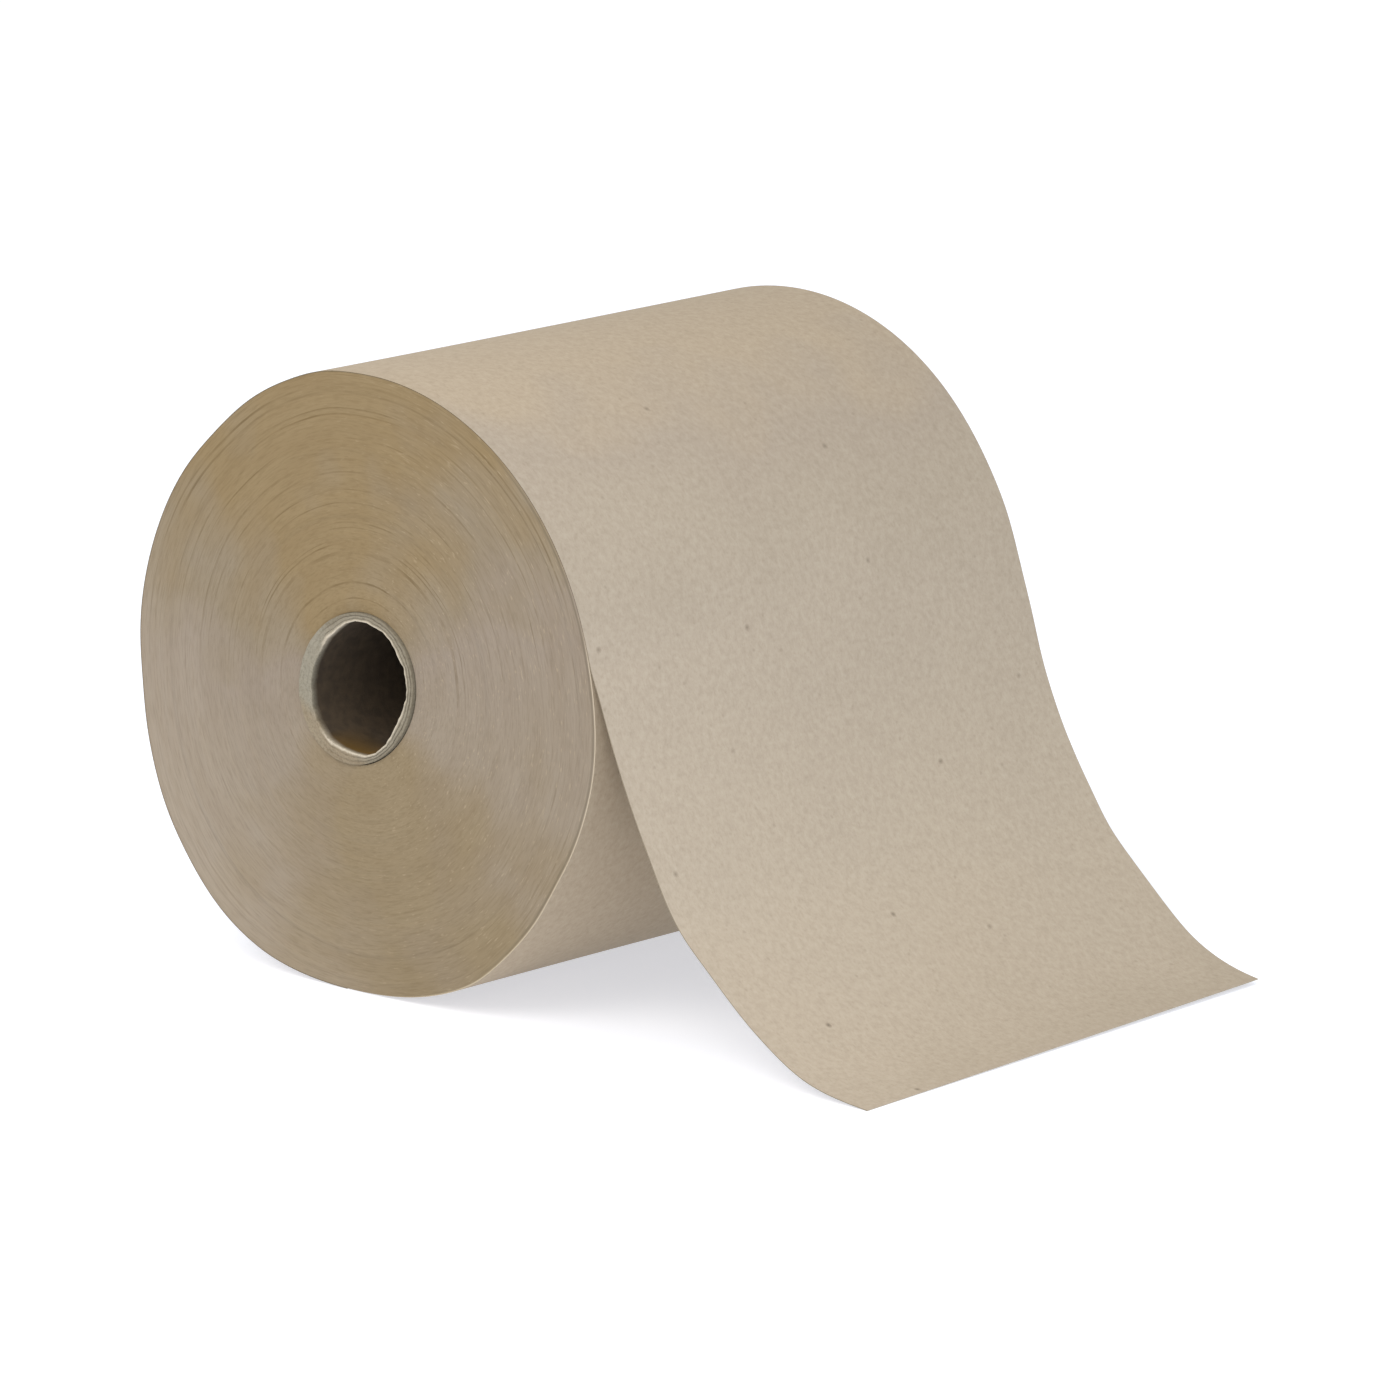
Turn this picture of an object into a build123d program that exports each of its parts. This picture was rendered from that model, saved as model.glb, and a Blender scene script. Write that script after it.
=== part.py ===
from build123d import *
import math
import os

# A hardwound roll of brown paper towel on its cardboard core, lying on its side.
# The loose end of the sheet leaves the roll near the front, hangs clear and flares out
# to the floor. Z is up, the roll's axis is Y and the loose end is on the +X side.
# The origin is the centre of the core's bore. Lengths are in millimetres, angles in
# degrees counted from +X towards +Z.

# The wound paper
ROLL_WIDTH = 200.0
ROLL_DIAMETER = 198.0
OUT_OF_ROUND = 1.6  # the longest radius is this much over the mean, the shortest under it
LONG_AXIS = 61.0  # direction of the longest radius
OFF_CENTRE = 0.8  # the core sits this far behind the middle of the roll, along X
FLAT_SPOT_DEPTH = 2.0  # how far the paper is pressed in where it rests on the floor
SHEET_THICKNESS = 0.35

# The loose end of the sheet
LEAVING_ANGLE = 20.0  # where the outermost turn leaves the roll
SHEET_REACH = 99.6  # from the mean outside of the roll to the sheet's end on the +Y side
END_OUT_OF_SQUARE = 11.6  # how much further out the sheet ends on the -Y side
LANDING_ANGLE = 6.0  # slope of the sheet where it meets the floor
NIP_GAP = 0.4  # the wedge between roll and sheet starts where it is this wide
# Points that the sheet hangs through, as shares of its way out and of its way down
SHEET_SAG = [(0.23, 0.502), (0.35, 0.676), (0.456, 0.764), (0.62, 0.882), (0.781, 0.963)]

# The cardboard core
CORE_BORE = 41.6
PLY_THICKNESS = 1.2
CORE_PLIES = 3
CORE_PROUD = 1.0  # each end of the core stands this far out of the paper
PLY_STEP = 0.35  # the cut ends of the plies step back by this, one after the other
CORE_CLEARANCE = 0.3  # between the core and the first turn of paper

# The wound edges on the two ends of the roll: the turns lie in bundles that slid
# sideways by different small amounts while the roll was wound
BUNDLES = 10
BUNDLE_SHIFT = 0.6  # the most that a bundle lies back from the roll's end
BUNDLE_UNEVENNESS = 0.3  # the most that a bundle's edge is off its even place, in bundles
BUNDLE_BEAT = 2.4  # how far the wave of shifts turns from one bundle to the next, in radians

roll_radius = ROLL_DIAMETER / 2
core_radius = CORE_BORE / 2 + CORE_PLIES * PLY_THICKNESS
hole_radius = core_radius + CORE_CLEARANCE
core_length = ROLL_WIDTH + 2 * CORE_PROUD


def oval_share(radius):
    """How far a turn has grown from round at the core to the roll's full oval."""
    return (radius - hole_radius) / (roll_radius - hole_radius)


def turn_shape(radius):
    """Centre, long radius and short radius of the turn that has this mean radius."""
    share = oval_share(radius)
    squash = OUT_OF_ROUND * share
    return (OFF_CENTRE * share, 0), radius + squash, radius - squash


def turn_arc(radius, start, size):
    """Part of one turn, by its angles about the roll."""
    centre, long_radius, short_radius = turn_shape(radius)
    return EllipticalCenterArc(
        centre,
        long_radius,
        short_radius,
        start_angle=start - LONG_AXIS,
        arc_size=size,
        rotation=LONG_AXIS,
    )


def turn_line(radius):
    """One whole turn as a closed line."""
    return Wire([turn_arc(radius, LONG_AXIS, 360)])


def floor_height():
    """Height of the floor: the oval's lowest point, pressed in by the flat spot."""
    centre, long_radius, short_radius = turn_shape(roll_radius)
    tilt = math.radians(LONG_AXIS)
    lowest = math.hypot(long_radius * math.sin(tilt), short_radius * math.cos(tilt))
    return FLAT_SPOT_DEPTH - lowest


def sheet_face_line(leaving, direction, end, inset):
    """One face of the loose sheet: the outer one, or with an inset the inner one."""
    way_out = end.X - leaving.X
    way_down = end.Y - leaving.Y
    hung = [leaving + Vector(way_out * out, way_down * down) for out, down in SHEET_SAG]
    landing = Vector(1, 0).rotate(Axis.Z, -LANDING_ANGLE)
    outer = Spline(leaving, *hung, end, tangents=[direction, landing])
    if inset == 0:
        return outer
    # The wedge opens as the secant of the angle, so this is how far down it starts
    nip_angle = math.acos(roll_radius / (roll_radius + NIP_GAP))
    nip_share = roll_radius * nip_angle / outer.length
    stations = [nip_share + (1 - nip_share) * i / 12 for i in range(13)]
    inner = [outer @ s + (outer % s).rotate(Axis.Z, -90) * inset for s in stations]
    return Spline(*inner, tangents=[outer % nip_share, outer % 1])


def paper_section():
    """Section of the wound paper and its loose sheet, square to the roll's axis."""
    floor = floor_height()
    last_turn = roll_radius
    turn_below = roll_radius - SHEET_THICKNESS
    to_bottom = 270 - LEAVING_ANGLE
    over_top = turn_arc(last_turn, LEAVING_ANGLE, to_bottom)
    leaving = over_top @ 0
    direction = over_top % 0 * -1
    furthest = OFF_CENTRE + roll_radius + SHEET_REACH + END_OUT_OF_SQUARE
    end = Vector(furthest, floor + SHEET_THICKNESS)
    outer_face = sheet_face_line(leaving, direction, end, 0)
    inner_face = sheet_face_line(leaving, direction, end, SHEET_THICKNESS)
    nip_angle = math.degrees(math.atan2((inner_face @ 0).Y, (inner_face @ 0).X - OFF_CENTRE))
    under_sheet = turn_arc(turn_below, 270, 90 + nip_angle)
    outline = Wire(
        [
            outer_face,
            over_top,
            Line(over_top @ 1, under_sheet @ 0),
            under_sheet,
            Line(under_sheet @ 1, inner_face @ 0),
            inner_face,
            Line(inner_face @ 1, outer_face @ 1),
        ]
    )
    below_floor = Pos(0, floor - roll_radius) * Rectangle(8 * roll_radius, 2 * roll_radius)
    return make_face(outline) - below_floor


def bundle_edge(number):
    """Mean radius where one bundle starts, counted from the one on the core."""
    even_thickness = (roll_radius - hole_radius) / BUNDLES
    return hole_radius + even_thickness * (number + BUNDLE_UNEVENNESS * math.sin(BUNDLE_BEAT * number))


def bundle_reach(number, end):
    """How far one bundle reaches along Y: end is -1 towards -Y and 1 towards +Y."""
    lean = 0.55 + 0.45 * math.sin(BUNDLE_BEAT * number - end)
    return ROLL_WIDTH / 2 - BUNDLE_SHIFT * lean


def bundle(number):
    """One bundle of turns, wound on the bundle inside it, with its own two ends."""
    ring = Face(turn_line(bundle_edge(number + 1)), [turn_line(bundle_edge(number))])
    near_end = Plane.XZ.offset(bundle_reach(number, -1))
    return extrude(near_end * ring, -bundle_reach(number, -1) - bundle_reach(number, 1))


def outermost_bundle():
    """The last turns, as wide as the roll, and the loose sheet that runs on from them."""
    section = paper_section() - make_face(turn_line(bundle_edge(BUNDLES - 1)))
    return extrude(Plane.XZ * section, ROLL_WIDTH / 2, both=True) - beyond_sheet_end()


def beyond_sheet_end():
    """The space past the sheet's cut end, which runs a little out of square."""
    corner = OFF_CENTRE + roll_radius + SHEET_REACH
    slant = END_OUT_OF_SQUARE / ROLL_WIDTH
    plan = Polyline(
        (corner - slant * ROLL_WIDTH, 1.5 * ROLL_WIDTH),
        (corner + 2 * slant * ROLL_WIDTH, -1.5 * ROLL_WIDTH),
        (corner + roll_radius, -1.5 * ROLL_WIDTH),
        (corner + roll_radius, 1.5 * ROLL_WIDTH),
        close=True,
    )
    return extrude(make_face(plan), 2 * roll_radius, both=True)


def wound_paper():
    """All of the paper, the loose end included, as the one piece that it is."""
    bundles = [bundle(number).solid() for number in range(BUNDLES - 1)]
    return outermost_bundle().solid().fuse(*bundles, glue=True)


def core_tube():
    """The cardboard tube, with its plies stepping back at both cut ends."""
    tube = Part()
    for ply in range(CORE_PLIES):
        inside = CORE_BORE / 2 + ply * PLY_THICKNESS
        ring = Circle(inside + PLY_THICKNESS) - Circle(inside)
        tube += extrude(Plane.XZ * ring, core_length / 2 - ply * PLY_STEP, both=True)
    return tube


pieces = {"wound_paper": wound_paper(), "core_tube": core_tube()}
os.makedirs("parts", exist_ok=True)
for name, piece in pieces.items():
    export_step(piece, f"parts/{name}.step")
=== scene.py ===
# %% [markdown]
# A roll of brown paper towel, the unbleached kind that washroom dispensers take. It is one
# long sheet wound hard on a cardboard tube, so it has only two pieces to model: the wound
# paper with its loose end, and the core. All of its character is in small things: hundreds
# of cut edges that make fine rings on each end, a core mouth that has been knocked out of
# round, and soft recycled fibre with dark specks in it.
#
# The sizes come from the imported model, which is loaded first and is never moved. It also
# says where the floor is, how wide the roll is and how far out the loose end reaches.

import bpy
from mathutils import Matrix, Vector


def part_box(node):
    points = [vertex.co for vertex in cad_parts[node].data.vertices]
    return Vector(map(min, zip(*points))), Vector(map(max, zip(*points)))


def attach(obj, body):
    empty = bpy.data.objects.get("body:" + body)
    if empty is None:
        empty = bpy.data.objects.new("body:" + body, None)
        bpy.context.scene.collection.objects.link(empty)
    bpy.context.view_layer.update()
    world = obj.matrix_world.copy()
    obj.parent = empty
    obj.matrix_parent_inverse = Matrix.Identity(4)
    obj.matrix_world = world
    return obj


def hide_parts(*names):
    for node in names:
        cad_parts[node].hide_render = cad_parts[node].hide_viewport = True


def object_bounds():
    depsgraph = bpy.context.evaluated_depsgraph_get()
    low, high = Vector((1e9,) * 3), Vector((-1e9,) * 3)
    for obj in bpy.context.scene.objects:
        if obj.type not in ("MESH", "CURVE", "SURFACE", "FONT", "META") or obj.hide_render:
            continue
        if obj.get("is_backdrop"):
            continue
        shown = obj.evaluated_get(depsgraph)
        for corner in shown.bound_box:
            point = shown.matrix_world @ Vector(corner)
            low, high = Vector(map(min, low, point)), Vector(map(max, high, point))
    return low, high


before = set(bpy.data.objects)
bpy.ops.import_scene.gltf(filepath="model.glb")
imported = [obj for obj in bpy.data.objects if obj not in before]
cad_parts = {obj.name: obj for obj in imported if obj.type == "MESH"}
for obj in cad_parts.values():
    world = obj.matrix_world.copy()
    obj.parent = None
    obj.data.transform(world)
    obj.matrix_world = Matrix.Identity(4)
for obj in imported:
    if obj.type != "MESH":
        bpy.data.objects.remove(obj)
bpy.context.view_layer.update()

# %% Other tools, and the frame's sizes in millimetres
import functools
import math

import bpy
import numpy as np
from mathutils import Matrix, Vector

MM = 0.001
paper_low, paper_high = (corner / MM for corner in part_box("wound_paper"))
core_low, core_high = (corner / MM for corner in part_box("core_tube"))

ROLL_WIDTH = paper_high.y - paper_low.y
FLOOR = paper_low.z
SHEET_END_NEAR = paper_high.x
CORE_LENGTH = core_high.y - core_low.y
CORE_RADIUS = core_high.z
print("roll width", round(ROLL_WIDTH, 1), "mm, floor at", round(FLOOR, 1), "mm")

# %% [markdown]
# ## The shape of one turn
#
# A roll that lies on its side is never a true cylinder. This one is a slightly leaning
# oval, its core sits a little off the middle, and its weight has pressed a flat spot where
# it rests. Turns near the core follow the core's own squeezed mouth, and turns near the
# outside follow the roll's oval. One function places any point of any turn, given the
# turn's mean radius, the angle round the roll and the place along its width. Every paper
# piece is shaped by it, so they all fit each other.

# %% Named sizes of the winding, in millimetres and degrees
ROLL_RADIUS = 98.9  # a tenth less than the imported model's, so that the paper stays in its box
OUT_OF_ROUND = 1.6
LONG_AXIS = 61.0
OFF_CENTRE = 0.8
FLAT_SPOT_DEPTH = 2.0
FLAT_SPOT_REACH = 7.0  # up to this height above the floor the turns are squeezed flatter
PAPER_THICKNESS = 0.3
CORE_CLEARANCE = 0.12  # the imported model's is 0.3, and a real roll is wound tighter
HOLE_RADIUS = CORE_RADIUS + CORE_CLEARANCE

MOUTH_SQUEEZE = 1.6  # how far the core's mouth is out of round, seen from outside
MOUTH_LONG_AXIS = 43.0
MOUTH_SHIFT = (-1.6, -0.35)  # the mouth has been pushed over, along X and Z
MOUTH_FADE = 45.0  # the squeeze dies away over about this depth
FIRST_TURN_GAP = 0.4  # the first turns stand off the core on this side
FIRST_TURN_GAP_AT = 345.0

# The near rim has been knocked here and there: (angle, half width in degrees, how far out)
RIM_KNOCKS = [
    (100, 7, 0.6),
    (131, 10, -0.9),
    (187, 9, -1.0),
    (211, 9, 0.8),
    (232, 17, 2.2),
    (299, 8, 1.0),
    (328, 7, -0.7),
    (354, 14, 1.4),
]
KNOCK_FADE = 60.0  # the knocks die away over about this depth


def turned_from(angles, centre):
    """How far angles lie from a centre angle, from -180 to 180 degrees."""
    return (angles - centre + 180.0) % 360.0 - 180.0


def mouth_bulge(angles):
    """How far the knocked mouth of the core stands out from a circle, in mm."""
    across, up = MOUTH_SHIFT
    oval = MOUTH_SQUEEZE * np.cos(np.radians(2 * (angles - MOUTH_LONG_AXIS)))
    return oval + across * np.cos(np.radians(angles)) + up * np.sin(np.radians(angles))


def turn_place(radius, angles, along):
    """X and Z in mm of points on turns, from mean radius, angle in degrees and Y."""
    # The share is 0 at the core and 1 outside, and says which of the two a turn follows
    share = np.clip((radius - HOLE_RADIUS) / (ROLL_RADIUS - HOLE_RADIUS), 0.0, 1.2)
    depth = along + ROLL_WIDTH / 2
    oval = OUT_OF_ROUND * share * np.cos(np.radians(2 * (angles - LONG_AXIS)))
    near_core = (1 - np.minimum(share, 1.0)) ** 3 * np.exp(-depth / MOUTH_FADE)
    gap = FIRST_TURN_GAP * np.maximum(np.cos(np.radians(angles - FIRST_TURN_GAP_AT)), 0.0)
    knocks = sum(out * np.exp(-((turned_from(angles, at) / wide) ** 2)) for at, wide, out in RIM_KNOCKS)
    knocked = knocks * share**3 * np.exp(-depth / KNOCK_FADE)
    out = radius + oval + near_core * (mouth_bulge(angles) + gap) + knocked
    x = OFF_CENTRE * share + out * np.cos(np.radians(angles))
    height = out * np.sin(np.radians(angles)) - FLOOR
    squash = np.maximum(FLAT_SPOT_REACH - height, 0.0) / (FLAT_SPOT_REACH + FLAT_SPOT_DEPTH)
    return x, FLOOR + np.maximum(height + FLAT_SPOT_DEPTH * squash**2, 0.0)


rim_heights = turn_place(ROLL_RADIUS, np.arange(360.0), ROLL_WIDTH / 2)[1]
print("top of the last turn", round(rim_heights.max(), 2), "mm, packed model", round(paper_high.z, 2), "mm")

# %% [markdown]
# ## Modelling helpers
#
# The round pieces start the same way. A circle of vertices is dragged into the outline of a
# half section and spun about the roll's axis, as on a potter's wheel. The spun piece is
# truly round at first, and is then pushed into its real shape by a function of its own.
# Numbers that the materials need, such as the radius of each turn, are kept on the mesh as
# named attributes before the pushing starts.


# %% Mesh helpers
def spin_outline(name, outline, steps):
    """A new piece spun about the Y axis from a closed outline of (radius, y) points in mm."""
    bpy.ops.object.select_all(action="DESELECT")
    bpy.ops.mesh.primitive_circle_add(vertices=len(outline), radius=1.0, fill_type="NOTHING")
    piece = bpy.context.object
    piece.name = piece.data.name = name
    section = np.array([(radius, y, 0.0) for radius, y in outline]) * MM
    piece.data.vertices.foreach_set("co", section.ravel())
    bpy.ops.object.mode_set(mode="EDIT")
    bpy.ops.mesh.select_all(action="SELECT")
    bpy.ops.mesh.spin(steps=steps, angle=2 * math.pi, center=(0, 0, 0), axis=(0, 1, 0))
    bpy.ops.mesh.select_all(action="SELECT")
    bpy.ops.mesh.remove_doubles(threshold=0.002 * MM)
    bpy.ops.mesh.normals_make_consistent(inside=False)
    bpy.ops.object.mode_set(mode="OBJECT")
    return piece


def points_of(piece):
    """The piece's vertices as rows of x, y, z in mm."""
    flat = np.empty(len(piece.data.vertices) * 3)
    piece.data.vertices.foreach_get("co", flat)
    return flat.reshape(-1, 3) / MM


def move_points(piece, points):
    """Puts the piece's vertices at rows of x, y, z in mm."""
    piece.data.vertices.foreach_set("co", (points * MM).ravel())
    piece.data.update()


def keep_number(piece, name, values):
    """Keeps a length in mm for each vertex as a named attribute in metres, for the materials."""
    piece.data.attributes.new(name, "FLOAT", "POINT").data.foreach_set("value", values * MM)


def finish_piece(piece, node, crease_angle):
    """Smooth shading with sharp creases, and the piece's place in the frame."""
    bpy.ops.object.select_all(action="DESELECT")
    piece.select_set(True)
    bpy.context.view_layer.objects.active = piece
    bpy.ops.object.shade_smooth_by_angle(angle=math.radians(crease_angle))
    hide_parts(node)
    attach(piece, "root")
    print(piece.name, len(piece.data.vertices), "vertices", len(piece.data.polygons), "faces")


# %% [markdown]
# ## The wound turns
#
# Seen from the end, a hardwound roll is several hundred cut edges side by side. They were
# never cut level: while the roll was wound the sheet wandered, so bundles of turns lie a
# few tenths of a millimetre proud or shy of each other, and inside a bundle single turns
# wander too. Bump in a material could fake all of it, but it would leave the mesh flat and
# the rim a clean line. So the larger rings are real relief: the outline has one point for
# each 0.8 mm of winding and a step at each edge of a bundle, and then slow waves drift round
# the roll, so that no ring is a perfect circle. Only finer rings come from the material.

# %% Bundles of turns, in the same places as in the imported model
BUNDLES = 10
BUNDLE_SHIFT = 0.3  # the most that a bundle lies back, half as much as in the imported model
BUNDLE_UNEVENNESS = 0.3  # the most that a bundle's edge is off its even place, in bundles
BUNDLE_BEAT = 2.4  # how far the wave of shifts turns from one bundle to the next, in radians
LAST_BUNDLE_SHIFT = 0.05  # the last bundle is nearly level with the last turn
BUNDLE_STEP_WIDTH = 0.5  # a step from one bundle to the next is spread over this
RING_STEP = 0.8
RING_SHIFT = 0.1  # the most that one ring lies back from its bundle
TURN_STEPS = 320  # points round the roll
WALL_END = 94.0  # the outer wall and the hole's wall have rings of points out to here
OUTER_WALL_RINGS = 19
HOLE_WALL_RINGS = 15
LAST_TURN_INSIDE = ROLL_RADIUS - PAPER_THICKNESS

wound_depth = ROLL_RADIUS - HOLE_RADIUS
bundle_edges = [
    HOLE_RADIUS + wound_depth / BUNDLES * (n + BUNDLE_UNEVENNESS * math.sin(BUNDLE_BEAT * n))
    for n in range(BUNDLES + 1)
]


def bundle_reach(number, end):
    """How far a bundle reaches along Y in mm: end is -1 for the near end, 1 for the far one."""
    lean = 0.55 + 0.45 * math.sin(BUNDLE_BEAT * number - end)
    return ROLL_WIDTH / 2 - BUNDLE_SHIFT * lean


def end_outline(end, chance):
    """Points (radius, y) across one end of the roll, from the hole to the last turn."""
    line = []
    for number in range(BUNDLES):
        first, last = bundle_edges[number], bundle_edges[number + 1]
        reach = bundle_reach(number, end)
        if number == BUNDLES - 1:
            last, reach = LAST_TURN_INSIDE, ROLL_WIDTH / 2 - LAST_BUNDLE_SHIFT
        rings = max(2, round((last - first) / RING_STEP))
        after_step = first + BUNDLE_STEP_WIDTH * (number > 0)
        for place in np.linspace(after_step, last, rings):
            line.append((float(place), end * (reach - chance.uniform(0.0, RING_SHIFT))))
    return line


chance = np.random.default_rng(7)
near_line = end_outline(-1, chance)
far_line = end_outline(1, chance)
outer_wall = [(LAST_TURN_INSIDE, y) for y in np.linspace(-WALL_END, WALL_END, OUTER_WALL_RINGS)]
hole_wall = [(HOLE_RADIUS, y) for y in np.linspace(WALL_END, -WALL_END, HOLE_WALL_RINGS)]
outline = near_line + outer_wall + far_line[::-1] + hole_wall
wound_turns = spin_outline("wound_turns", outline, TURN_STEPS)
print("rings on each end", len(near_line))

# %% Let the rings wander, then push the roll into its real shape
END_BAND = 2.0  # points this near to an end of the roll belong to its rings
RING_WAVES = 26
RING_WAVE_HEIGHT = 0.016
RING_WAVE_LENGTHS = (1.6, 8.0)  # from one crest to the next, outwards from the core
RING_WAVE_DEPTH = 0.1  # the middle of the waves lies this far back
LEVEL_RIM = 3.0  # the waves get lower over this much of the last turns
HOLE_DISH = 0.15  # the turns next to the core sink this far into the roll's ends
HOLE_DISH_WIDTH = 1.8

points = points_of(wound_turns)
turn = np.hypot(points[:, 0], points[:, 2])
angles = np.degrees(np.arctan2(points[:, 2], points[:, 0]))
on_end = np.abs(points[:, 1]) > ROLL_WIDTH / 2 - END_BAND
waves = np.zeros(len(points))
for _ in range(RING_WAVES):
    length = chance.uniform(*RING_WAVE_LENGTHS)
    drift = chance.integers(-3, 4)
    start = chance.uniform(0, 2 * math.pi)
    waves += RING_WAVE_HEIGHT * np.sin(2 * math.pi * turn / length + drift * np.radians(angles) + start)
dish = HOLE_DISH * np.exp(-(((turn - HOLE_RADIUS) / HOLE_DISH_WIDTH) ** 2))
level = np.clip((LAST_TURN_INSIDE - turn) / LEVEL_RIM, 0.2, 1.0)
set_back = np.maximum(waves + RING_WAVE_DEPTH, 0.0) * level + dish
points[:, 1] -= np.sign(points[:, 1]) * on_end * set_back
keep_number(wound_turns, "turn", turn)
keep_number(wound_turns, "along", np.radians((angles + 90.0) % 360.0) * turn)
points[:, 0], points[:, 2] = turn_place(turn, angles, points[:, 1])
move_points(wound_turns, points)
finish_piece(wound_turns, "wound_paper", crease_angle=50)

# %% [markdown]
# ## The last turn and the loose end
#
# The outermost turn starts under the roll, at the flat spot, goes up behind it and over the
# top, and leaves it at the front. From there the sheet hangs free, curves outwards and lands
# on the floor. It is one strip, so it is modelled as one: a grid whose long way follows the
# path and whose short way is the roll's width. A cloth simulation would let it go limp, but
# paper that has been wound tight keeps its set. So nothing here is simulated: the hanging
# part goes through a few points that were measured, and its far edge hangs its own way.

# %% The path of the loose end
LEAVING_ANGLE = 20.0  # where the last turn leaves the roll
TURN_START_ANGLE = 266.0  # where it starts, under the roll
LANDING_ANGLE = 6.0  # slope of the sheet where it meets the floor
END_OUT_OF_SQUARE = 11.6  # how much further out the sheet ends at the near edge
# Points that the sheet hangs through, as shares of its way out and of its way down
SHEET_SAG = [(0.23, 0.502), (0.35, 0.676), (0.456, 0.764), (0.62, 0.882), (0.781, 0.963)]


def smooth_line(knots, first_way, last_way, pieces):
    """A smooth line through knots: a cubic between each two, with the end directions given."""
    knots = np.array(knots)
    spans = np.hypot(*np.diff(knots, axis=0).T)
    ways = np.diff(knots, axis=0) / spans[:, None]
    weights = spans[1:, None] / (spans[1:, None] + spans[:-1, None])
    inner = ways[:-1] * weights + ways[1:] * (1 - weights)
    ways = np.vstack([first_way, inner, last_way])
    line = [knots[0]]
    for k, span in enumerate(spans):
        for t in np.linspace(0, 1, pieces + 1)[1:]:
            rise = 3 * t**2 - 2 * t**3
            line.append(
                knots[k] * (1 - rise)
                + knots[k + 1] * rise
                + ways[k] * span * (t - 2 * t**2 + t**3)
                + ways[k + 1] * span * (t**3 - t**2)
            )
    return np.array(line)


leaving = np.array(turn_place(ROLL_RADIUS, LEAVING_ANGLE, 0.0))
just_before = np.array(turn_place(ROLL_RADIUS, LEAVING_ANGLE + 0.5, 0.0))
leaving_way = (leaving - just_before) / np.hypot(*(leaving - just_before))
landing_way = np.array([math.cos(math.radians(LANDING_ANGLE)), -math.sin(math.radians(LANDING_ANGLE))])
landing = np.array([SHEET_END_NEAR, FLOOR + PAPER_THICKNESS])
sag = [leaving + (landing - leaving) * share for share in SHEET_SAG]
hanging = smooth_line([leaving, *sag, landing], leaving_way, landing_way, pieces=40)
hanging_length = np.concatenate([[0.0], np.cumsum(np.hypot(*np.diff(hanging, axis=0).T))])
print("loose end", round(hanging_length[-1], 1), "mm long at its longer edge")

# %% The flat sheet
SHEET_ROWS = 330
SHEET_COLUMNS = 36
wound_length = math.radians(TURN_START_ANGLE - LEAVING_ANGLE) * ROLL_RADIUS
sheet_length = wound_length + hanging_length[-1]

bpy.ops.object.select_all(action="DESELECT")
bpy.ops.mesh.primitive_grid_add(x_subdivisions=SHEET_ROWS, y_subdivisions=SHEET_COLUMNS, size=1.0)
last_turn = bpy.context.object
last_turn.name = last_turn.data.name = "last_turn"
bpy.ops.object.mode_set(mode="EDIT")
bpy.ops.mesh.select_all(action="SELECT")
bpy.ops.transform.resize(value=(sheet_length * MM, ROLL_WIDTH * MM, 1.0))
bpy.ops.transform.translate(value=(sheet_length / 2 * MM, 0.0, 0.0))
bpy.ops.object.mode_set(mode="OBJECT")
flat = points_of(last_turn)
print("flat sheet", round(float(np.ptp(flat[:, 0])), 1), "by", round(float(np.ptp(flat[:, 1])), 1), "mm")

# %% Wrap it round the roll and hang its end
EDGE_WANDER = 0.12  # how far the sheet's two long edges stray from straight
EDGE_WAVE = 31.0  # mm for one radian of the wave that they follow
# The far edge hangs its own way: (mm past leaving, half width in mm, how far out)
FAR_LIFTS = [(5, 22, 1.7), (30, 15, 1.0), (97, 15, 1.4), (158, 14, -1.2)]
NEAR_CLING = 0.5  # the near edge stays this much closer to the roll, just past leaving
NEAR_CLING_AT = 14.0
NEAR_CLING_LENGTH = 6.0
SLACK = 0.3  # height of the slow waves in the part that hangs free
# The slow waves: (mm along for one radian, mm across for one radian, start)
SLACK_WAVES = [(21.0, 47.0, 0.0), (13.0, -33.0, 1.0)]
LAST_TURN_ALONG = 1000.0  # its lengths are counted on from here, so its fibres are its own

half_share = flat[:, 1] / (ROLL_WIDTH / 2)
stray = EDGE_WANDER * np.abs(half_share) ** 8 * (1 + np.sin(flat[:, 0] / EDGE_WAVE)) / 2
across = flat[:, 1] - np.sign(flat[:, 1]) * stray
past_leaving = flat[:, 0] - wound_length

angles = LEAVING_ANGLE - np.degrees(np.minimum(past_leaving, 0.0) / ROLL_RADIUS)
wound_x, wound_z = turn_place(ROLL_RADIUS, angles, across)
end_x = SHEET_END_NEAR - END_OUT_OF_SQUARE * (flat[:, 1] / ROLL_WIDTH + 0.5)
end_length = np.interp(end_x, hanging[:, 0], hanging_length)
hung_share = np.clip(past_leaving / hanging_length[-1], 0.0, 1.0)
hung = hung_share * end_length
loose = past_leaving > 0
wrapped_x = np.where(loose, np.interp(hung, hanging_length, hanging[:, 0]), wound_x)
wrapped_z = np.where(loose, np.interp(hung, hanging_length, hanging[:, 1]), wound_z)

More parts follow.
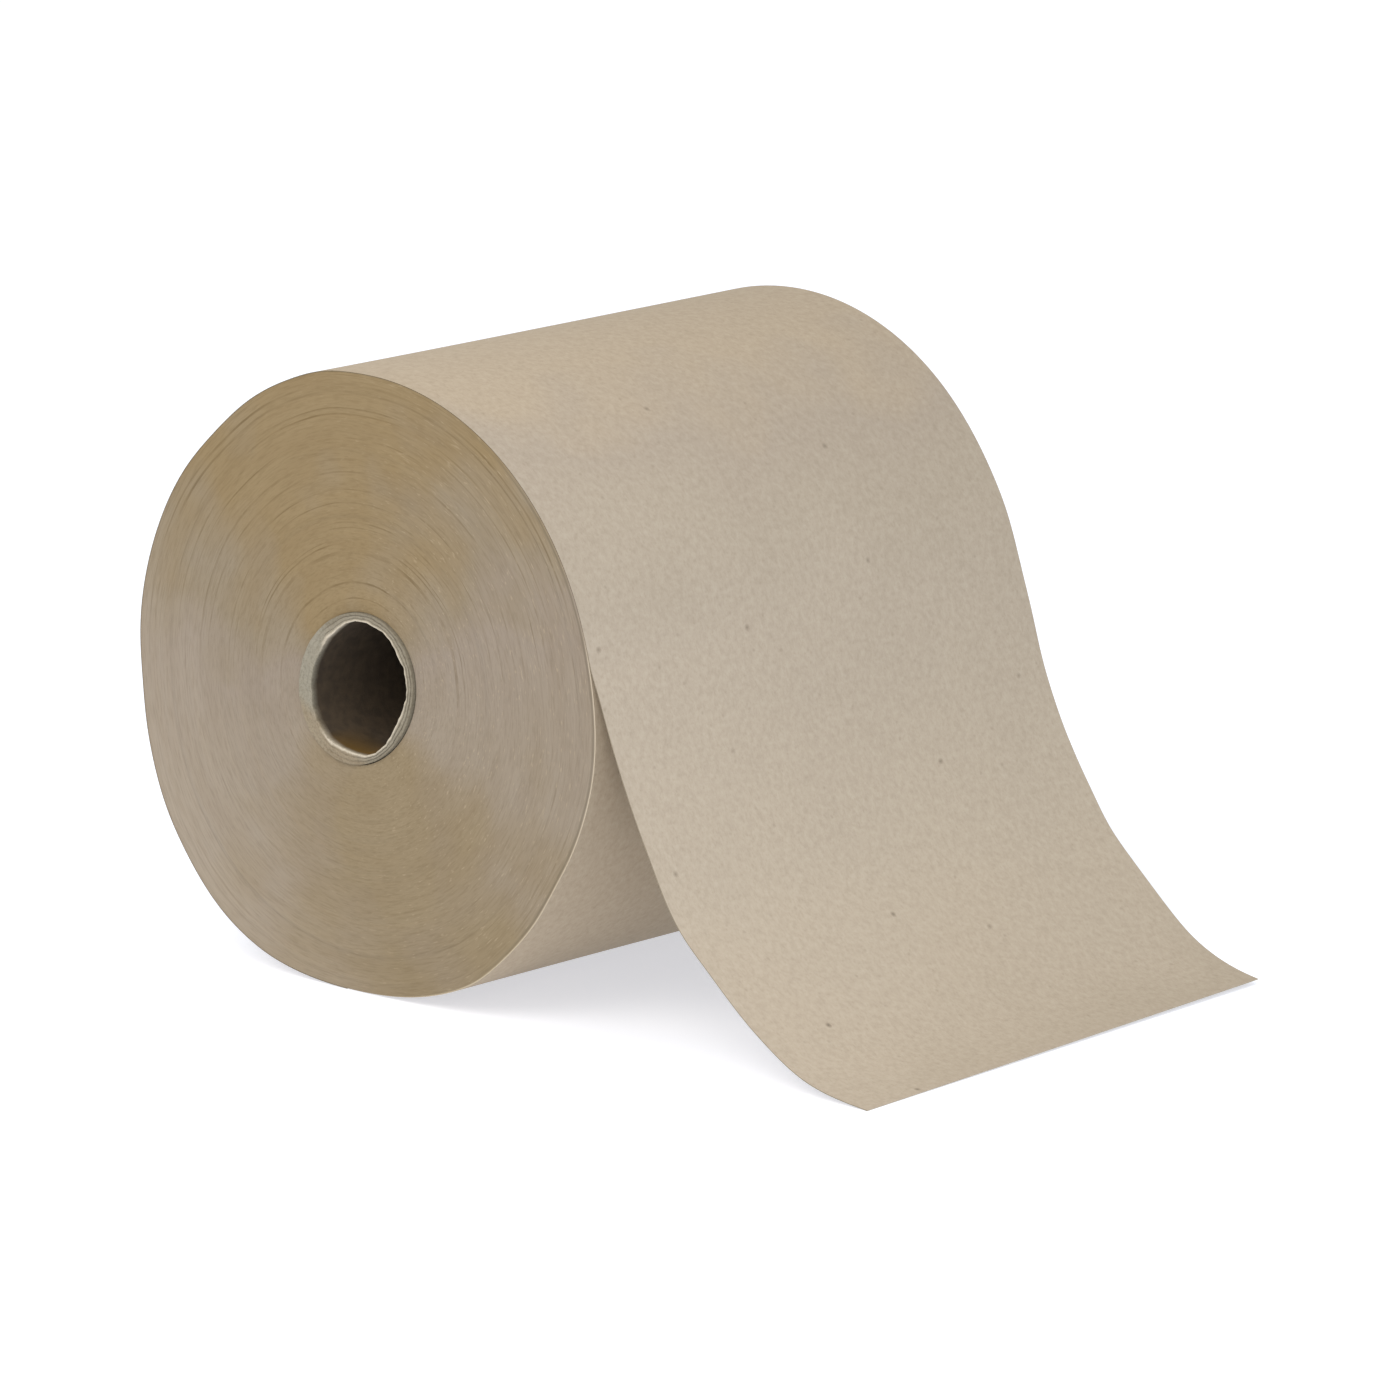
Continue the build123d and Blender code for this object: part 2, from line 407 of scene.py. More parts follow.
far_share = np.clip(half_share / 2 + 0.5, 0.0, 1.0)
far_lift = sum(out * np.exp(-(((past_leaving - at) / long) ** 2)) for at, long, out in FAR_LIFTS)
lift = far_lift * far_share**1.5
cling = np.exp(-(((past_leaving - NEAR_CLING_AT) / NEAR_CLING_LENGTH) ** 2))
lift -= NEAR_CLING * (1 - far_share) ** 4 * cling
waves = sum(np.sin(hung / long + across / wide + start) for long, wide, start in SLACK_WAVES)
lift += SLACK * waves / 2 * np.sin(math.pi * hung_share) ** 2
outward = np.array([-leaving_way[1], leaving_way[0]])
hung_x = wrapped_x + lift * outward[0]
hung_z = wrapped_z + lift * outward[1]
move_points(last_turn, np.stack([hung_x, across, hung_z], 1))
keep_number(last_turn, "along", flat[:, 0] + LAST_TURN_ALONG)
keep_number(last_turn, "turn", np.full(len(flat), ROLL_RADIUS))

# %% Give the sheet its thickness, towards the roll
highest = max(last_turn.data.polygons, key=lambda polygon: polygon.center.z)
if highest.normal.z < 0:
    last_turn.data.flip_normals()
thickness = last_turn.modifiers.new("thickness", "SOLIDIFY")
thickness.thickness = PAPER_THICKNESS * MM
thickness.offset = -1.0
thickness.use_even_offset = True
bpy.ops.object.modifier_apply(modifier=thickness.name)
finish_piece(last_turn, "wound_paper", crease_angle=40)

# %% [markdown]
# ## The core
#
# The tube is three plies of grey board, wound in a spiral and glued. Its mouth took knocks
# in handling: it is squeezed out of round, its inner lip is kinked into short straight
# stretches, and the torn inner ply stands up a little as a fuzzy edge, with a painted
# highlight where it catches the light. The squeeze goes deep into the tube, while the kinks
# are only at the lip. One cylinder cut out of another would have clean rims and no plies. So
# the wall is spun from an outline that has three steps at each mouth, one for each ply, with
# a fine groove between them.

# %% Named sizes of the core, in millimetres and degrees
CORE_WALL = 3.6
CORE_BORE_RADIUS = CORE_RADIUS - CORE_WALL
CORE_PLIES = 3
PLY_STEP = 0.2  # the cut ends of the plies step back by this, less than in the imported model
PLY_GROOVE = 0.3
BORE_SQUEEZE = 1.7  # how far the bore is out of round behind its lip
BORE_LONG_AXIS = 55.0
LIP_DEPTH = 7.0  # the kinks of the lip die away over this depth
LIP_RAGGEDNESS = 0.16
RAGGED_DEPTH = 2.0  # the ragged edge dies away over this depth
RAGGED_WAVES = (3, 7, 11, 17, 26, 41)  # how many of each wave go round the mouth
CORE_STEPS = 240  # points round the core
# Kinks of the near lip: (angle, radius)
LIP_KINKS = [
    (0, 20.3),
    (8, 21.1),
    (26, 21.6),
    (34, 21.2),
    (50, 21.9),
    (62, 22.1),
    (80, 21.6),
    (94, 21.2),
    (106, 20.5),
    (116, 19.6),
    (134, 19.1),
    (150, 18.8),
    (168, 19.6),
    (186, 20.7),
    (204, 21.7),
    (216, 22.2),
    (234, 22.5),
    (250, 21.5),
    (264, 21.0),
    (278, 21.3),
    (290, 20.9),
    (306, 19.9),
    (330, 18.7),
    (348, 19.3),
]


def lip_radius(angles):
    """Radius of the kinked lip, which runs straight from each kink to the next."""
    kinks = np.array(LIP_KINKS + [(LIP_KINKS[0][0] + 360, LIP_KINKS[0][1])], float)
    angles = (angles - kinks[0, 0]) % 360.0 + kinks[0, 0]
    before = np.clip(np.searchsorted(kinks[:, 0], angles, side="right") - 1, 0, len(kinks) - 2)
    (angle_1, radius_1), (angle_2, radius_2) = kinks[before].T, kinks[before + 1].T
    turned, left = np.radians(angles - angle_1), np.radians(angle_2 - angles)
    reach = radius_1 * np.sin(turned) + radius_2 * np.sin(left)
    return radius_1 * radius_2 * np.sin(np.radians(angle_2 - angle_1)) / reach


def core_place(wall, angles, along):
    """X and Z in mm of points in the core's wall; wall is 0 on the bore and 1 outside."""
    depth = np.maximum(along + CORE_LENGTH / 2, 0.0)
    squeezed = np.exp(-depth / MOUTH_FADE)
    kinked = np.exp(-((depth / LIP_DEPTH) ** 2))
    bore_oval = BORE_SQUEEZE * squeezed * np.cos(np.radians(2 * (angles - BORE_LONG_AXIS)))
    bore = (CORE_BORE_RADIUS + bore_oval) * (1 - kinked) + lip_radius(angles) * kinked
    out = bore * (1 - wall) + (CORE_RADIUS + mouth_bulge(angles) * squeezed) * wall
    return out * np.cos(np.radians(angles)), out * np.sin(np.radians(angles))


# %% Spin the core from its half section
ply = (CORE_RADIUS - CORE_BORE_RADIUS) / CORE_PLIES
# A ply's cut end: (share of its thickness, how far back), rounded down into the next groove
PLY_END = [(0.06, 0.12), (0.25, 0.0), (0.5, 0.0), (0.75, 0.02), (0.94, 0.1), (1.0, PLY_GROOVE)]
mouth = []
for number in range(CORE_PLIES):
    inside = CORE_BORE_RADIUS + number * ply
    reach = CORE_LENGTH / 2 - number * PLY_STEP
    mouth += [(inside + share * ply, reach - back) for share, back in PLY_END]
BORE_DEPTHS = [0.6, 1.5, 3, 5, 7.5, 11, 16, 24, 36, 52, 72, 100]  # closer where the lip is bent
OUTER_DEPTHS = [2.5, 8, 20, 45, 72, 100]
bore_wall = [(CORE_BORE_RADIUS, CORE_LENGTH / 2 - depth) for depth in BORE_DEPTHS]
outer_side = [(CORE_RADIUS, CORE_LENGTH / 2 - depth) for depth in OUTER_DEPTHS]
far_half = bore_wall[::-1] + mouth + outer_side
near_half = [(radius, -y) for radius, y in reversed(far_half)]
core = spin_outline("core_plies", far_half + near_half, CORE_STEPS)
print("points in the core's half section", len(far_half + near_half))

# %% Fray the core's mouths, then push it into its real shape
points = points_of(core)
round_radius = np.hypot(points[:, 0], points[:, 2])
wall = (round_radius - CORE_BORE_RADIUS) / (CORE_RADIUS - CORE_BORE_RADIUS)
angles = np.degrees(np.arctan2(points[:, 2], points[:, 0]))
from_mouth = CORE_LENGTH / 2 - np.abs(points[:, 1])
ragged = np.zeros(len(points))
for waves_round in RAGGED_WAVES:
    start = chance.uniform(0, 2 * math.pi)
    ragged += np.sin(waves_round * np.radians(angles) + start + 3.0 * wall) / 2.0
ragged = np.clip(LIP_RAGGEDNESS * (1 + ragged), 0.0, 0.8)
points[:, 1] -= np.sign(points[:, 1]) * ragged * np.exp(-from_mouth / RAGGED_DEPTH)
keep_number(core, "wall", wall / MM)
keep_number(core, "mouth_depth", from_mouth)
points[:, 0], points[:, 2] = core_place(wall, angles, points[:, 1])
move_points(core, points)
finish_piece(core, "core_tube", crease_angle=45)

# %% [markdown]
# ## Materials
#
# Paper has no gloss to speak of. What the eye reads is its colour, and how unevenly that
# colour lies. A picture of real paper could be laid on, but it would repeat and bring its
# own light. So everything here is mixed from noise whose scale is worked out from a size in
# millimetres, and a small bump lets the light catch the fibres. One helper adds a node with
# its settings and links. A socket can be given a plain value or the node that feeds it.


# %% Colours and nodes
def linear(code):
    """A colour written as sRGB hex, as the linear red, green, blue and alpha of a socket."""
    parts = [int(code[i : i + 2], 16) / 255 for i in (1, 3, 5)]
    return [c / 12.92 if c <= 0.04045 else ((c + 0.055) / 1.055) ** 2.4 for c in parts] + [1.0]


def add_node(tree, kind, sockets=None, stops=(), **settings):
    """Adds a node: settings go on it, each socket gets a value or a node, and stops are a ramp's."""
    node = tree.nodes.new("ShaderNode" + kind)
    for name, value in settings.items():
        setattr(node, name, value)
    for key, value in (sockets or {}).items():
        by_name = (socket for socket in node.inputs if socket.name == key and socket.enabled)
        socket = node.inputs[key] if isinstance(key, int) else next(by_name)
        if isinstance(value, bpy.types.Node):
            value = next(output for output in value.outputs if output.enabled)
        if isinstance(value, bpy.types.NodeSocket):
            tree.links.new(value, socket)
        else:
            socket.default_value = value
    for number, (place, code) in enumerate(stops):
        if number > 1:
            node.color_ramp.elements.new(1.0)
        node.color_ramp.elements[number].position = place
        node.color_ramp.elements[number].color = linear(code)
    return node


def new_material(name):
    """A material with an empty node tree, and a shorter way to add nodes to that tree."""
    material = bpy.data.materials.new(name)
    material.use_nodes = True
    material.node_tree.nodes.clear()
    return material, functools.partial(add_node, material.node_tree)


# %% [markdown]
# ### Unbleached recycled towel paper
#
# The face of the sheet. It is brown because the pulp isn't bleached. Recycled fibres are
# short and clump, so the tone is mottled at about two millimetres. Shade is also painted
# along the sheet: warmer over the top of the roll, greyer over its shoulder and palest low
# down, with edges that noise makes uneven, and the far edge gets a little painted shade.
# The fibres lie along the sheet, so their noise reads the length that was kept on the mesh,
# and follows the paper round the roll.

# %% Towel paper: fibres, and painted shade along the sheet
DRIFT_FROM = LAST_TURN_ALONG + 310.0  # near the top of the roll
DRIFT_TO = LAST_TURN_ALONG + 610.0  # near the cut end
DRIFT_WANDER = 0.3  # how much noise shifts the drift, as a share of its length
# How far along the drift, and the colour of painted shade that darkens the paper there
PAINTED_SHADE_TONES = [
    (0.09, "#F7F3ED"),
    (0.2, "#EEEDEE"),
    (0.32, "#F2F2F2"),
    (0.45, "#F8F8F9"),
    (0.7, "#FFFFFF"),
    (0.88, "#FFFEFD"),
    (1.0, "#F9F8F6"),
]
towel, add = new_material("unbleached_towel_paper")
place = add("TexCoord").outputs["Object"]
across = add("SeparateXYZ", {0: place}).outputs["Y"]
along = add("Attribute", attribute_name="along").outputs["Fac"]
on_sheet = add("CombineXYZ", {"X": along, "Y": across})

drift = add("TexNoise", {"Vector": place, "Scale": 1 / (45 * MM), "Detail": 2.0})
clumps = add("TexNoise", {"Vector": place, "Scale": 1 / (2.1 * MM), "Detail": 3.0, "Roughness": 0.6})
lying = add("Mapping", {"Vector": on_sheet, "Scale": (0.5, 1.0, 1.0)})
fibres = add("TexNoise", {"Vector": lying, "Scale": 1 / (0.7 * MM), "Detail": 3.0, "Roughness": 0.7})
tone = add("ValToRGB", {"Fac": clumps}, [(0.3, "#ADA190"), (0.5, "#B3A796"), (0.72, "#B8AD9C")])
# Painted shade: this ramp along the sheet darkens it over the top and the shoulder of the roll.
lengthways = {"Value": along, "From Min": DRIFT_FROM * MM, "From Max": DRIFT_TO * MM}
lengthways |= {"To Min": -DRIFT_WANDER / 2, "To Max": 1 - DRIFT_WANDER / 2}
lengthways = add("MapRange", lengthways)
drifting = add("Math", {0: drift, 1: DRIFT_WANDER, 2: lengthways}, operation="MULTIPLY_ADD")
painted_shade = add("ValToRGB", {"Fac": drifting}, PAINTED_SHADE_TONES)
tone = add("Mix", {"Factor": 1.0, "A": tone, "B": painted_shade}, data_type="RGBA", blend_type="MULTIPLY")
# Painted shade: the paper is darkened a little towards the sheet's far edge.
half_width = ROLL_WIDTH / 2 * MM
towards_far = add("MapRange", {"Value": across, "From Min": -half_width, "From Max": half_width})
far_edge_shade = {"Factor": towards_far, "A": tone, "B": linear("#F7F7F6")}
tone = add("Mix", far_edge_shade, data_type="RGBA", blend_type="MULTIPLY")
fibre_tone = add("ValToRGB", {"Fac": fibres}, [(0.3, "#ECE9E4"), (0.5, "#FFFFFF")])
tone = add("Mix", {"Factor": 0.5, "A": tone, "B": fibre_tone}, data_type="RGBA", blend_type="MULTIPLY")
print("towel paper, tone:", len(towel.node_tree.nodes), "nodes")

# %% [markdown]
# Stray dark specks are bits of printed or bark fibre that came through the screens. Most are
# faint and a few are bold, so there are three sorts. Each sort has one place for a speck in
# each cell of a Voronoi pattern laid flat on the sheet, and the cell's random colour decides
# whether there is one and how dark it is. The fibres' noise frays their outlines.

# %% Towel paper: specks
SPECK_FRAY = 0.8  # mm
# (mm from one speck to the next, about; mm across; share of cells that have one; depth; colour)
SPECKS = [
    (6.0, 1.2, 0.6, 0.22, "#857969"),
    (14.0, 1.7, 0.7, 0.35, "#7A6E5E"),
    (64.0, 2.6, 0.9, 0.9, "#6A5F50"),
]
fray = {0: fibres.outputs["Color"], 1: [SPECK_FRAY * MM] * 3, 2: on_sheet}
fraying = add("VectorMath", fray, operation="MULTIPLY_ADD")
for cell, size, share, depth, code in SPECKS:
    cells = add("TexVoronoi", {"Vector": fraying, "Scale": 1 / (cell * MM)}, voronoi_dimensions="2D")
    speck_chance = add("SeparateColor", {0: cells.outputs["Color"]}).outputs
    has_speck = add("Math", {0: speck_chance["Red"], 1: share}, operation="LESS_THAN")
    from_middle = {"Value": cells.outputs["Distance"], "From Min": size / 2 / cell, "From Max": 0.0}
    spot = add("MapRange", from_middle)
    strength = add("MapRange", {"Value": speck_chance["Green"], "To Min": depth / 4, "To Max": depth})
    shown = add("Math", {0: spot, 1: has_speck}, operation="MULTIPLY")
    shown = add("Math", {0: shown, 1: strength}, operation="MULTIPLY")
    tone = add("Mix", {"Factor": shown, "A": tone, "B": linear(code)}, data_type="RGBA")
print("towel paper, with specks:", len(towel.node_tree.nodes), "nodes")

# %% [markdown]
# Creping left low cross ridges about two millimetres apart. With the fibres and clumps they
# only soften the light, so a bump is enough. The finish is as matt as blotting paper.

# %% Towel paper: relief and finish
CREPE_STEP = 2.2  # mm
crepe = {"Vector": on_sheet, "Scale": 1 / (CREPE_STEP * MM * math.pi), "Distortion": 4.0, "Detail": 2.0}
ridges = add("TexWave", crepe, wave_type="BANDS", bands_direction="X")
relief = add("Math", {0: ridges.outputs["Fac"], 1: 0.3, 2: fibres}, operation="MULTIPLY_ADD")
relief = add("Math", {0: relief, 1: clumps}, operation="ADD")
bump = add("Bump", {"Height": relief, "Strength": 0.3, "Distance": 0.05 * MM})
face = {"Base Color": tone, "Roughness": 0.94, "Specular IOR Level": 0.2, "Normal": bump}
add("OutputMaterial", {"Surface": add("BsdfPrincipled", face)})
print(towel.name, "has", len(towel.node_tree.nodes), "nodes")

# %% [markdown]
# ### The cut edges of the turns
#
# Each end of the roll is end grain, made of cut paper edges. It looks darker than the
# sheet's face, because light sinks in between the edges, and it is streaked along the
# turns. The streaks are noise that changes fast with the radius and slowly round the roll.
# The noise reads the turn's radius, which was kept on the mesh, and the direction from the
# axis in place of an angle, so that it has no seam. The real turns are 0.12 mm apart, too
# fine to show in a picture, so the finest rings are drawn about 0.6 mm apart and the clear
# ones over a millimetre.

# %% Cut edges: arcs and broken streaks
edges, add = new_material("cut_edges_of_towel_paper")
place = add("TexCoord").outputs["Object"]
radius = add("Attribute", attribute_name="turn").outputs["Fac"]
from_axis = add("VectorMath", {0: place, 1: (1.0, 0.0, 1.0)}, operation="MULTIPLY")
direction = add("VectorMath", {0: from_axis}, operation="NORMALIZE")
facing = add("SeparateXYZ", {0: direction}).outputs

sway = add("TexNoise", {"Vector": direction, "Scale": 1.6, "Detail": 1.0})
swayed = add("Math", {0: sway, 1: 1.6 * MM, 2: radius}, operation="MULTIPLY_ADD")
arcs = add("TexNoise", {"W": swayed, "Scale": 1 / (1.3 * MM), "Detail": 2.0}, noise_dimensions="1D")

# Broken streaks: (name, mm from ring to ring, how short they are, detail)
STREAKS = [("stretches", 7.0, 2.2, 2.0), ("strokes", 0.55, 14.0, 2.0), ("flecks", 0.6, 24.0, 1.0)]
streaks = {}
for name, ring, shortness, detail in STREAKS:
    ring_place = add("Math", {0: radius, 1: ring * MM}, operation="DIVIDE")
    round_x = add("Math", {0: facing["X"], 1: shortness}, operation="MULTIPLY")
    round_z = add("Math", {0: facing["Z"], 1: shortness}, operation="MULTIPLY")
    spot = add("CombineXYZ", {"X": ring_place, "Y": round_x, "Z": round_z})
    streaks[name] = add("TexNoise", {"Vector": spot, "Scale": 1.0, "Detail": detail, "Roughness": 0.6})
print("cut edges, streaks:", ", ".join(streaks))

# %% [markdown]
# Above and below the core the edges look a warmer, darker brown than beside it, because the
# cut edges take the light unevenly by their direction. Lamps alone don't give that, because
# the end is flat and takes their light evenly. So it is painted shade: the brown is in the
# tone, by the direction from the core, and noise makes its sectors uneven. The tone is also
# paler low down on the side away from the loose end.

# %% Cut edges: brown and grey sectors of painted shade
SECTOR_LEAN = (-0.21, 0.0, 0.98)  # the brown sectors lean a little to the left
patches = add("TexNoise", {"Vector": place, "Scale": 1 / (24 * MM), "Detail": 1.5})
leaning = {0: direction, 1: SECTOR_LEAN}
upwards = add("VectorMath", leaning, operation="DOT_PRODUCT").outputs["Value"]
below_to_above = add("Math", {0: upwards, 1: 0.5, 2: 0.25}, operation="MULTIPLY_ADD")
sector_place = add("Math", {0: patches, 1: 0.5, 2: below_to_above}, operation="MULTIPLY_ADD")
# From straight below the core, at 0, past its sides to straight above it, at 1
SECTOR_SHADE_TONES = [
    (0.0, "#85775F"),
    (0.14, "#867965"),
    (0.28, "#8A7F70"),
    (0.58, "#897E71"),
    (0.74, "#857966"),
    (0.96, "#847356"),
]
# Painted shade: a warmer, darker brown above and below the core, greyer beside it.
tone = add("ValToRGB", {"Fac": sector_place}, SECTOR_SHADE_TONES)
# The tone is paler low down on the side away from the loose end.
low_left_way = {0: place, 1: (-0.8, 0.0, -0.6)}
lower_left = add("VectorMath", low_left_way, operation="DOT_PRODUCT").outputs["Value"]
paler_low_left = add("MapRange", {"Value": lower_left, "From Min": 40 * MM, "From Max": 95 * MM, "To Max": 0.6})
tone = add("Mix", {"Factor": paler_low_left, "A": tone, "B": linear("#9B9081")}, data_type="RGBA")
print("cut edges, sectors:", len(edges.node_tree.nodes), "nodes")

# %% Cut edges: dark arcs, clearer above the core, and pale flecks, more of them near the sheet
stretch = add("MapRange", {"Value": streaks["stretches"], "From Min": 0.42, "From Max": 0.66})
above = {"Value": facing["Z"], "From Min": -0.2, "From Max": 0.6, "To Min": 0.25, "To Max": 0.8}
stretch = add("Math", {0: stretch, 1: add("MapRange", above)}, operation="MULTIPLY")
for fac, amount, stops in (
    (arcs, stretch, [(0.33, "#CFC8BC"), (0.4, "#FFFFFF")]),
    (streaks["stretches"], 0.6, [(0.3, "#F2EFEB"), (0.6, "#FFFFFF")]),
    (streaks["strokes"], 0.6, [(0.3, "#E6E3DE"), (0.55, "#FFFFFF")]),
):
    shade = add("ValToRGB", {"Fac": fac}, stops)
    tone = add("Mix", {"Factor": amount, "A": tone, "B": shade}, data_type="RGBA", blend_type="MULTIPLY")
fleck_places = add("MapRange", {"Value": streaks["flecks"], "From Min": 0.64, "From Max": 0.74})
towards_sheet = {"Value": facing["X"], "From Min": -0.4, "From Max": 0.7, "To Min": 0.04, "To Max": 0.22}
flecks = add("Math", {0: fleck_places, 1: add("MapRange", towards_sheet)}, operation="MULTIPLY")
tone = add("Mix", {"Factor": flecks, "A": tone, "B": linear("#B5A68C")}, data_type="RGBA")
print("cut edges, streaked:", len(edges.node_tree.nodes), "nodes")

# %% [markdown]
# The last few turns get painted light and shade. Those under the last one are a little
# loose in front, and the shade in that gap is painted as a dark line. The last edge but one
# shows where the sheet has left the roll, and where it catches the light it gets a painted
# highlight. The last turn's own edge is seen against its shadow, so it is painted dark.
# These are places on the turn's radius, so each is a ramp that goes up and down again.

# %% Cut edges: painted shade and highlight on the last few turns
# Painted shade: a dark line in the gap under the last turn, in front.
DARK_LINE = (-1.7, -0.9, -0.3)  # mm from the inside of the last turn: start, darkest and end
PALE_EDGE = (-0.5, -0.2)
SHADOWED = linear("#5C5547")
dark_start, darkest, dark_end = ((LAST_TURN_INSIDE + step) * MM for step in DARK_LINE)
pale_start, pale_full = ((LAST_TURN_INSIDE + step) * MM for step in PALE_EDGE)

in_front = add("MapRange", {"Value": facing["X"], "From Min": 0.4, "From Max": 0.8})
darker = add("MapRange", {"Value": radius, "From Min": dark_start, "From Max": darkest})
lighter = add("MapRange", {"Value": radius, "From Min": dark_end, "From Max": darkest})
dark = add("Math", {0: darker, 1: lighter}, operation="MULTIPLY")
dark = add("Math", {0: dark, 1: in_front}, operation="MULTIPLY")
dark = add("Math", {0: dark, 1: 0.5}, operation="MULTIPLY")
tone = add("Mix", {"Factor": dark, "A": tone, "B": SHADOWED}, data_type="RGBA")

# Painted highlight on the last edge but one, where the sheet leaves the roll.
last_but_one = add("MapRange", {"Value": radius, "From Min": pale_start, "From Max": pale_full})
below_nip = add("MapRange", {"Value": facing["Z"], "From Min": 0.35, "From Max": 0.2})
in_front = add("MapRange", {"Value": facing["X"], "From Min": 0.0, "From Max": 0.3, "To Max": 0.6})
pale = add("Math", {0: last_but_one, 1: below_nip}, operation="MULTIPLY")
pale = add("Math", {0: pale, 1: in_front}, operation="MULTIPLY")
tone = add("Mix", {"Factor": pale, "A": tone, "B": linear("#C4B8A2")}, data_type="RGBA")
# Painted shade on the last turn's own edge.
last = {"Value": radius, "From Min": (LAST_TURN_INSIDE + 0.1) * MM, "From Max": ROLL_RADIUS * MM}
last = add("MapRange", last | {"To Max": 0.6})
tone = add("Mix", {"Factor": last, "A": tone, "B": SHADOWED}, data_type="RGBA")

# %% Cut edges: relief and finish
relief = add("Math", {0: streaks["flecks"], 1: 0.5, 2: streaks["strokes"]}, operation="MULTIPLY_ADD")
bump = add("Bump", {"Height": relief, "Strength": 0.3, "Distance": 0.1 * MM})
cut = {"Base Color": tone, "Roughness": 0.96, "Specular IOR Level": 0.15, "Normal": bump}
add("OutputMaterial", {"Surface": add("BsdfPrincipled", cut)})
print(edges.name, "has", len(edges.node_tree.nodes), "nodes")

# %% [markdown]
# ### Core board
#
# Grey-brown recycled board. The cut ply ends are pale and fuzzy, with a dark line of glue
# between them. Rings drawn round a centre would miss the plies of a mouth that is out of
# round. So one ramp reads how far through the wall a point is, which was kept on the mesh.

# %% Core board: plies
board, add = new_material("spiral_wound_core_board")
place = add("TexCoord").outputs["Object"]
place_axes = add("SeparateXYZ", {0: place}).outputs
wall_share = add("Attribute", attribute_name="wall").outputs["Fac"]
from_mouth = add("Attribute", attribute_name="mouth_depth").outputs["Fac"]
fuzz = add("TexNoise", {"Vector": place, "Scale": 1 / (0.8 * MM), "Detail": 4.0, "Roughness": 0.7})
clumps = add("TexNoise", {"Vector": place, "Scale": 1 / (3.2 * MM), "Detail": 2.0})
wandering = add("Math", {0: clumps, 1: 0.25, 2: wall_share}, operation="MULTIPLY_ADD")
# Outwards through the wall: three plies, with darker glue between them
PLY_TONES = [
    (0.2, "#8F8778"),
    (0.42, "#8B8475"),
    (0.47, "#6E6759"),
    (0.53, "#8A8374"),
    (0.74, "#847D6E"),
    (0.8, "#665F52"),
    (0.86, "#7C7566"),
]
tone = add("ValToRGB", {"Fac": wandering}, PLY_TONES)
print("core board, plies:", len(board.node_tree.nodes), "nodes")

# %% [markdown]
# The torn inner lip gets a painted highlight on the side where it stands free, and is grey
# on the left, where the squeeze has rolled it over. Low on the left the board is stained
# brown. Fuzz breaks up all of it.

# %% Core board: painted highlight on the lip, rolled side and stain
free_side = add("MapRange", {"Value": place_axes["X"], "From Min": -17 * MM, "From Max": -13 * MM})
rolled_side = add("MapRange", {"Value": free_side, "From Min": 1.0, "From Max": 0.0})
tone = add("Mix", {"Factor": rolled_side, "A": tone, "B": linear("#8A8577")}, data_type="RGBA")
stained_way = {0: place, 1: (-0.5, 0.0, -0.87)}
lower_left = add("VectorMath", stained_way, operation="DOT_PRODUCT").outputs["Value"]
stained = add("MapRange", {"Value": lower_left, "From Min": 17 * MM, "From Max": 21 * MM, "To Max": 0.7})
tone = add("Mix", {"Factor": stained, "A": tone, "B": linear("#8A7C66")}, data_type="RGBA")
# Painted highlight on the lip's free side, where it catches the light.
lip = add("MapRange", {"Value": wandering, "From Min": 0.36, "From Max": 0.26})
lip_highlight = add("Math", {0: lip, 1: free_side}, operation="MULTIPLY")
tone = add("Mix", {"Factor": lip_highlight, "A": tone, "B": linear("#B7AE9D")}, data_type="RGBA")
fuzz_tone = add("ValToRGB", {"Fac": fuzz}, [(0.3, "#C6C1B7"), (0.55, "#FFFFFF")])
tone = add("Mix", {"Factor": 0.7, "A": tone, "B": fuzz_tone}, data_type="RGBA", blend_type="MULTIPLY")
print("core board, lip:", len(board.node_tree.nodes), "nodes")

# %% [markdown]
# The bore's lining is a darker brown than the cut plies, and starts just behind the lip. At
# the bottom of the mouth, where light falls on it, that light is painted in as a warm ochre.

# %% Core board: lining, painted light, relief and finish
deep = add("MapRange", {"Value": from_mouth, "From Min": 0.3 * MM, "From Max": 3.0 * MM})
on_lining = add("Math", {0: wall_share, 1: 0.03}, operation="LESS_THAN")
lined = add("Math", {0: deep, 1: on_lining}, operation="MULTIPLY")
lining = add("ValToRGB", {"Fac": clumps}, [(0.35, "#433A30"), (0.65, "#4F4437")])
tone = add("Mix", {"Factor": lined, "A": tone, "B": lining}, data_type="RGBA")
# Painted light: a warm ochre pool low in the mouth, where light falls into the bore.
low = add("MapRange", {"Value": place_axes["Z"], "From Min": -16.5 * MM, "From Max": -21 * MM})
near_mouth = add("MapRange", {"Value": from_mouth, "From Min": 18 * MM, "From Max": 3 * MM})
painted_ochre_light = add("Math", {0: low, 1: near_mouth}, operation="MULTIPLY")
painted_ochre_light = add("Math", {0: painted_ochre_light, 1: lined}, operation="MULTIPLY")
tone = add("Mix", {"Factor": painted_ochre_light, "A": tone, "B": linear("#6B5226")}, data_type="RGBA")
bump = add("Bump", {"Height": fuzz, "Strength": 0.6, "Distance": 0.15 * MM})
cut_board = {"Base Color": tone, "Roughness": 0.95, "Specular IOR Level": 0.2, "Normal": bump}
add("OutputMaterial", {"Surface": add("BsdfPrincipled", cut_board)})
print(board.name, "has", len(board.node_tree.nodes), "nodes")

# %% [markdown]
# ### Dressing the pieces
#
# Both paper pieces have two materials. On the wound turns the cut edges are the faces at the
# two ends. On the last turn they are the thin faces that Solidify made along its two long
# edges, and those are found by the way that they face.

